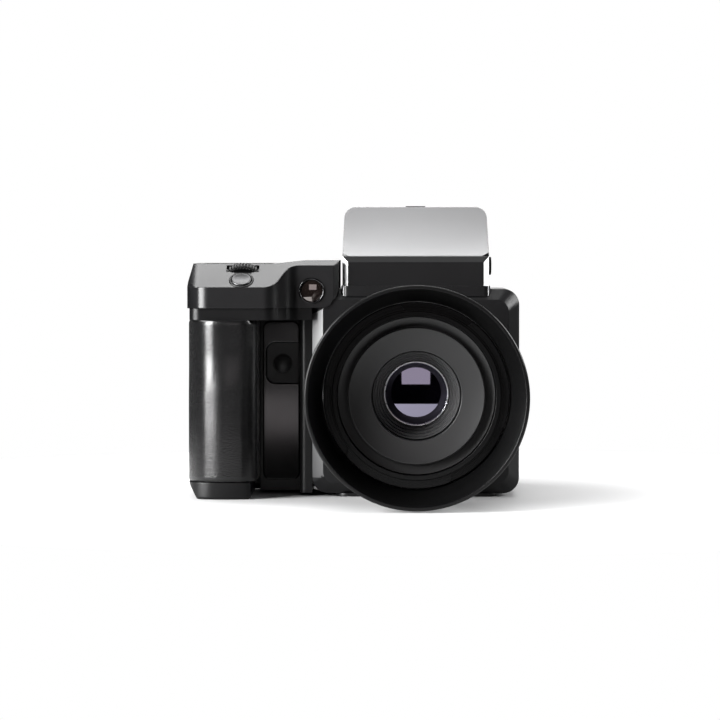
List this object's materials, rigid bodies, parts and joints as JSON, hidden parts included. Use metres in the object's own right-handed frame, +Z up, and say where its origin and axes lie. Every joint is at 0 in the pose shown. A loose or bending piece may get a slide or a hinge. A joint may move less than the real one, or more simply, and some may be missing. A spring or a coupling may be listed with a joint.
{
  "type": "medium format digital camera",
  "caption": "Modular medium format reflex camera with a side grip, a prism finder on top, a hooded prime lens and a digital back.",
  "frame": {"origin": "mouth of the small tripod socket, in the base plate under the lens axis", "axes": "+Z up, -Y the way the lens looks, +X to the right of someone who faces the lens"},
  "size_m": [0.1577, 0.2075, 0.1379],
  "materials": {
    "housing_black": "satin black paint",
    "cover_black": "satin black anodised metal",
    "finder_silver": "smooth silver paint",
    "grip_rubber": "fine-grained black rubber",
    "grip_black": "matt black",
    "gloss_black": "gloss black",
    "bright_metal": "polished",
    "steel": "turned steel",
    "black_metal": "black anodised metal",
    "disc_grey": "dark grey satin metal",
    "button_satin": "satin aluminium",
    "lens_glass": "coated glass",
    "clear_glass": "clear glass",
    "mirror": "front-silvered",
    "display_black": "dark gloss panel",
    "sensor_green": "glossy filter over the sensor"
  },
  "bodies": {
    "camera_body": {"body_housing": "housing_black", "mirror_box": "grip_black", "lens_mount_ring": "steel", "case_screws": "steel", "focusing_screen": "clear_glass", "shutter_frame": "black_metal", "base_plate": "black_metal", "tripod_bush_small": "steel", "tripod_bush_large": "steel", "strap_bars": "steel", "grip_housing": "grip_black", "grip_rubber": "grip_rubber", "battery": "grip_black", "recess_panel": "gloss_black", "top_cover": "cover_black", "top_display": "display_black", "shutter_collar": "gloss_black", "lamp_ring": "bright_metal", "lamp_glass": "lens_glass", "finder_body": "housing_black", "finder_cap": "finder_silver", "prism_glass": "clear_glass", "eyepiece_lens": "clear_glass", "eyecup": "grip_rubber", "accessory_shoe": "steel", "lens_bayonet": "steel", "lens_barrel": "black_metal", "front_barrel": "black_metal", "front_disc": "disc_grey", "back_housing": "housing_black", "sensor": "sensor_green", "back_display": "display_black"},
    "shutter_button": {"shutter_button": "button_satin"},
    "front_dial": {"front_dial": "black_metal"},
    "rear_dial": {"rear_dial": "black_metal"},
    "rear_button": {"rear_button": "gloss_black"},
    "recess_button": {"recess_button": "gloss_black"},
    "lens_release_button": {"lens_release_button": "button_satin"},
    "battery_door": {"battery_door": "grip_black"},
    "port_cover": {"port_cover": "grip_rubber"},
    "card_door": {"card_door": "grip_black"},
    "reflex_mirror": {"reflex_mirror": "mirror"},
    "sub_mirror": {"sub_mirror": "mirror"},
    "shutter_blade_1": {"shutter_blade_1": "black_metal"},
    "shutter_blade_2": {"shutter_blade_2": "black_metal"},
    "shutter_blade_3": {"shutter_blade_3": "black_metal"},
    "diopter_knob": {"diopter_knob": "black_metal"},
    "finder_lever": {"finder_lever": "black_metal"},
    "focus_ring": {"focus_ring": "black_metal", "focus_grip": "grip_rubber"},
    "optical_cell": {"optical_cell": "black_metal", "front_glass": "lens_glass", "rear_glass": "lens_glass", "iris_blades": "black_metal"},
    "lens_hood": {"lens_hood": "black_metal"},
    "back_key_1": {"back_key_1": "gloss_black"},
    "back_key_2": {"back_key_2": "gloss_black"},
    "back_key_3": {"back_key_3": "gloss_black"},
    "back_key_4": {"back_key_4": "gloss_black"},
    "back_latch": {"back_latch": "black_metal"}
  },
  "joints": [
    {"name": "shutter_press", "type": "slide", "parent": "camera_body", "child": "shutter_button", "axis": [0, 0.5878, -0.809], "range_m": [0, 0.0012], "stiffness_N_per_m": 250, "springref_m": -0.0016},
    {"name": "front_dial_turn", "type": "hinge", "parent": "camera_body", "child": "front_dial", "pos_m": [-0.0815, -0.03358, 0.09951], "axis": [0, 0.809, 0.5878], "continuous": true},
    {"name": "rear_dial_turn", "type": "hinge", "parent": "camera_body", "child": "rear_dial", "pos_m": [-0.092, 0.0146, 0.101], "axis": [0, 0, 1], "continuous": true},
    {"name": "rear_button_press", "type": "slide", "parent": "camera_body", "child": "rear_button", "axis": [0, -1, 0], "range_m": [0, 0.0006], "stiffness_N_per_m": 250, "springref_m": -0.0012},
    {"name": "recess_button_press", "type": "slide", "parent": "camera_body", "child": "recess_button", "axis": [0, 1, 0], "range_m": [0, 0.001], "stiffness_N_per_m": 250, "springref_m": -0.0012},
    {"name": "lens_release_press", "type": "slide", "parent": "camera_body", "child": "lens_release_button", "axis": [0, 1, 0], "range_m": [0, 0.0012], "stiffness_N_per_m": 250, "springref_m": -0.0016},
    {"name": "battery_door_swing", "type": "hinge", "parent": "camera_body", "child": "battery_door", "pos_m": [-0.09, -0.001, 0.0019], "axis": [1, 0, 0], "range_deg": [0, 95]},
    {"name": "port_cover_swing", "type": "hinge", "parent": "camera_body", "child": "port_cover", "pos_m": [0.049, -0.016, 0.048], "axis": [0, 0, -1], "range_deg": [0, 110]},
    {"name": "card_door_swing", "type": "hinge", "parent": "camera_body", "child": "card_door", "pos_m": [0.0485, 0.036, 0.048], "axis": [0, 0, -1], "range_deg": [0, 110]},
    {"name": "mirror_lift", "type": "hinge", "parent": "camera_body", "child": "reflex_mirror", "pos_m": [0, 0.011, 0.073], "axis": [-1, 0, 0], "range_deg": [0, 45], "stiffness_Nm_per_rad": 0.02, "springref_deg": -45.84},
    {"name": "sub_mirror_fold", "type": "hinge", "parent": "reflex_mirror", "child": "sub_mirror", "pos_m": [0, -0.00618, 0.05341], "axis": [1, 0, 0], "range_deg": [0, 90]},
    {"name": "curtain_1_run", "type": "slide", "parent": "camera_body", "child": "shutter_blade_1", "axis": [0, 0, -1], "range_m": [0, 0.044], "stiffness_N_per_m": 12, "springref_m": -0.04},
    {"name": "curtain_2_run", "type": "slide", "parent": "camera_body", "child": "shutter_blade_2", "axis": [0, 0, -1], "range_m": [0, 0.03]},
    {"name": "curtain_3_run", "type": "slide", "parent": "camera_body", "child": "shutter_blade_3", "axis": [0, 0, -1], "range_m": [0, 0.016]},
    {"name": "diopter_turn", "type": "hinge", "parent": "camera_body", "child": "diopter_knob", "pos_m": [0.0348, 0.054, 0.1065], "axis": [1, 0, 0], "range_deg": [-90, 90]},
    {"name": "finder_release", "type": "slide", "parent": "camera_body", "child": "finder_lever", "axis": [0, 1, 0], "range_m": [0, 0.003]},
    {"name": "focus_turn", "type": "hinge", "parent": "camera_body", "child": "focus_ring", "pos_m": [0, -0.068, 0.051], "axis": [0, -1, 0], "range_deg": [0, 120]},
    {"name": "focus_travel", "type": "slide", "parent": "camera_body", "child": "optical_cell", "axis": [0, -1, 0], "range_m": [0, 0.005]},
    {"name": "hood_turn", "type": "hinge", "parent": "camera_body", "child": "lens_hood", "pos_m": [0, -0.1, 0.051], "axis": [0, -1, 0], "range_deg": [0, 60]},
    {"name": "back_key_1_press", "type": "slide", "parent": "camera_body", "child": "back_key_1", "axis": [0, -1, 0], "range_m": [0, 0.0005], "stiffness_N_per_m": 250, "springref_m": -0.0012},
    {"name": "back_key_2_press", "type": "slide", "parent": "camera_body", "child": "back_key_2", "axis": [0, -1, 0], "range_m": [0, 0.0005], "stiffness_N_per_m": 250, "springref_m": -0.0012},
    {"name": "back_key_3_press", "type": "slide", "parent": "camera_body", "child": "back_key_3", "axis": [0, -1, 0], "range_m": [0, 0.0005], "stiffness_N_per_m": 250, "springref_m": -0.0012},
    {"name": "back_key_4_press", "type": "slide", "parent": "camera_body", "child": "back_key_4", "axis": [0, -1, 0], "range_m": [0, 0.0005], "stiffness_N_per_m": 250, "springref_m": -0.0012},
    {"name": "latch_slide", "type": "slide", "parent": "camera_body", "child": "back_latch", "axis": [0, 0, -1], "range_m": [0, 0.004]}
  ],
  "couplings": [
    {"joint": "sub_mirror_fold", "follows": "mirror_lift", "ratio": 2},
    {"joint": "curtain_2_run", "follows": "curtain_1_run", "ratio": 0.68182},
    {"joint": "curtain_3_run", "follows": "curtain_1_run", "ratio": 0.36364},
    {"joint": "focus_travel", "follows": "focus_turn", "m_per_rad": 0.0023873}
  ]
}
